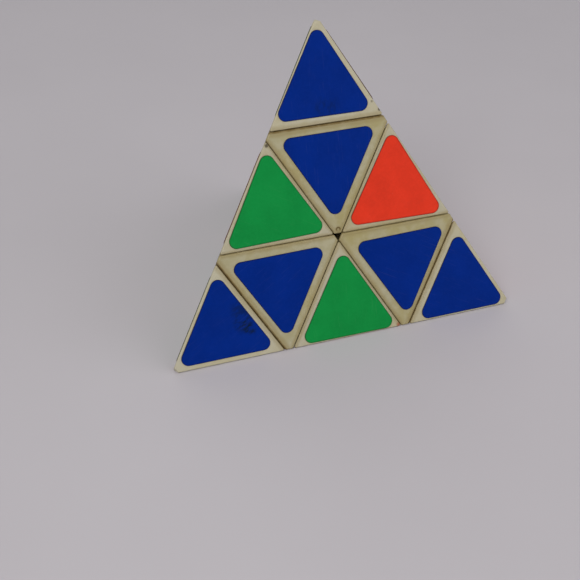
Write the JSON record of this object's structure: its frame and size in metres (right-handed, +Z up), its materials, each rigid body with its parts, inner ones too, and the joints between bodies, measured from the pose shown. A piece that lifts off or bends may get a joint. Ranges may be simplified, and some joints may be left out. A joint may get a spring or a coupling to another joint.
{
  "type": "pyramid twisty puzzle",
  "caption": "Pyramid-shaped twisty puzzle in ivory plastic: tips, centres and edge pieces with triangular stickers turn in layers round an inner core.",
  "frame": {"origin": "middle of the core, where the four turning axes meet", "axes": "+Z up through the top corner, -Y towards the front face, base face on the supporting surface at the lowest Z"},
  "size_m": [0.0956, 0.0835, 0.0784],
  "materials": {
    "ivory_plastic": "moulded, satin, aged to a warm ivory",
    "core_plastic": "moulded, plain",
    "steel": "zinc-plated",
    "sticker_blue": "satin vinyl film",
    "sticker_green": "satin vinyl film",
    "sticker_orange": "satin vinyl film",
    "sticker_yellow": "satin vinyl film"
  },
  "bodies": {
    "core": {"core_spider": "core_plastic", "axle_screws": "steel", "axle_washers": "steel", "axle_springs": "steel"},
    "centre_top": {"centre_top": "ivory_plastic", "sticker_centre_top_right": "sticker_orange", "sticker_centre_top_left": "sticker_green", "sticker_centre_top_front": "sticker_blue"},
    "tip_top": {"tip_top": "ivory_plastic", "tip_plug_top": "ivory_plastic", "sticker_tip_top_right": "sticker_orange", "sticker_tip_top_left": "sticker_green", "sticker_tip_top_front": "sticker_blue"},
    "centre_left": {"centre_left": "ivory_plastic", "sticker_centre_left_base": "sticker_yellow", "sticker_centre_left_left": "sticker_green", "sticker_centre_left_front": "sticker_blue"},
    "tip_left": {"tip_left": "ivory_plastic", "tip_plug_left": "ivory_plastic", "sticker_tip_left_base": "sticker_yellow", "sticker_tip_left_left": "sticker_green", "sticker_tip_left_front": "sticker_blue"},
    "centre_right": {"centre_right": "ivory_plastic", "sticker_centre_right_base": "sticker_yellow", "sticker_centre_right_right": "sticker_orange", "sticker_centre_right_front": "sticker_blue"},
    "tip_right": {"tip_right": "ivory_plastic", "tip_plug_right": "ivory_plastic", "sticker_tip_right_base": "sticker_yellow", "sticker_tip_right_right": "sticker_orange", "sticker_tip_right_front": "sticker_blue"},
    "centre_back": {"centre_back": "ivory_plastic", "sticker_centre_back_base": "sticker_yellow", "sticker_centre_back_right": "sticker_orange", "sticker_centre_back_left": "sticker_green"},
    "tip_back": {"tip_back": "ivory_plastic", "tip_plug_back": "ivory_plastic", "sticker_tip_back_base": "sticker_yellow", "sticker_tip_back_right": "sticker_orange", "sticker_tip_back_left": "sticker_green"},
    "edge_top_left": {"edge_top_left": "ivory_plastic", "sticker_edge_top_left_left": "sticker_orange", "sticker_edge_top_left_front": "sticker_green"},
    "edge_top_right": {"edge_top_right": "ivory_plastic", "sticker_edge_top_right_right": "sticker_yellow", "sticker_edge_top_right_front": "sticker_orange"},
    "edge_top_back": {"edge_top_back": "ivory_plastic", "sticker_edge_top_back_right": "sticker_orange", "sticker_edge_top_back_left": "sticker_blue"},
    "edge_left_right": {"edge_left_right": "ivory_plastic", "sticker_edge_left_right_base": "sticker_blue", "sticker_edge_left_right_front": "sticker_green"},
    "edge_left_back": {"edge_left_back": "ivory_plastic", "sticker_edge_left_back_base": "sticker_yellow", "sticker_edge_left_back_left": "sticker_green"},
    "edge_right_back": {"edge_right_back": "ivory_plastic", "sticker_edge_right_back_base": "sticker_blue", "sticker_edge_right_back_right": "sticker_yellow"}
  },
  "joints": [
    {"name": "layer_top", "type": "hinge", "parent": "core", "child": "centre_top", "pos_m": [0, 0, 0], "axis": [0, 0, 1], "range_deg": [-120, 240]},
    {"name": "layer_left", "type": "hinge", "parent": "core", "child": "centre_left", "pos_m": [0, 0, 0], "axis": [-0.8165, -0.4714, -0.3333], "range_deg": [-120, 240]},
    {"name": "layer_right", "type": "hinge", "parent": "core", "child": "centre_right", "pos_m": [0, 0, 0], "axis": [0.8165, -0.4714, -0.3333], "range_deg": [-120, 240]},
    {"name": "layer_back", "type": "hinge", "parent": "core", "child": "centre_back", "pos_m": [0, 0, 0], "axis": [0, 0.9428, -0.3333], "range_deg": [-120, 240]},
    {"name": "twist_tip_top", "type": "hinge", "parent": "centre_top", "child": "tip_top", "pos_m": [0, 0, 0], "axis": [0, 0, 1], "continuous": true},
    {"name": "twist_tip_left", "type": "hinge", "parent": "centre_left", "child": "tip_left", "pos_m": [0, 0, 0], "axis": [-0.8165, -0.4714, -0.3333], "continuous": true},
    {"name": "twist_tip_right", "type": "hinge", "parent": "centre_right", "child": "tip_right", "pos_m": [0, 0, 0], "axis": [0.8165, -0.4714, -0.3333], "continuous": true},
    {"name": "twist_tip_back", "type": "hinge", "parent": "centre_back", "child": "tip_back", "pos_m": [0, 0, 0], "axis": [0, 0.9428, -0.3333], "continuous": true},
    {"name": "edge_top_left_turn", "type": "hinge", "parent": "centre_top", "child": "edge_top_left", "pos_m": [0, 0, 0], "axis": [-0.8165, -0.4714, -0.3333], "range_deg": [-120, 240]},
    {"name": "edge_top_right_turn", "type": "hinge", "parent": "centre_top", "child": "edge_top_right", "pos_m": [0, 0, 0], "axis": [0.8165, -0.4714, -0.3333], "range_deg": [-120, 240]},
    {"name": "edge_top_back_turn", "type": "hinge", "parent": "centre_top", "child": "edge_top_back", "pos_m": [0, 0, 0], "axis": [0, 0.9428, -0.3333], "range_deg": [-120, 240]},
    {"name": "edge_left_right_turn", "type": "hinge", "parent": "centre_right", "child": "edge_left_right", "pos_m": [0, 0, 0], "axis": [-0.8165, -0.4714, -0.3333], "range_deg": [-120, 240]},
    {"name": "edge_left_back_turn", "type": "hinge", "parent": "centre_left", "child": "edge_left_back", "pos_m": [0, 0, 0], "axis": [0, 0.9428, -0.3333], "range_deg": [-120, 240]},
    {"name": "edge_right_back_turn", "type": "hinge", "parent": "centre_back", "child": "edge_right_back", "pos_m": [0, 0, 0], "axis": [0.8165, -0.4714, -0.3333], "range_deg": [-120, 240]}
  ],
  "couplings": [
    {"joint": "edge_top_left_turn", "follows": "layer_left", "ratio": 1},
    {"joint": "edge_top_right_turn", "follows": "layer_right", "ratio": 1},
    {"joint": "edge_top_back_turn", "follows": "layer_back", "ratio": 1},
    {"joint": "edge_left_right_turn", "follows": "layer_left", "ratio": 1},
    {"joint": "edge_left_back_turn", "follows": "layer_back", "ratio": 1},
    {"joint": "edge_right_back_turn", "follows": "layer_right", "ratio": 1}
  ]
}
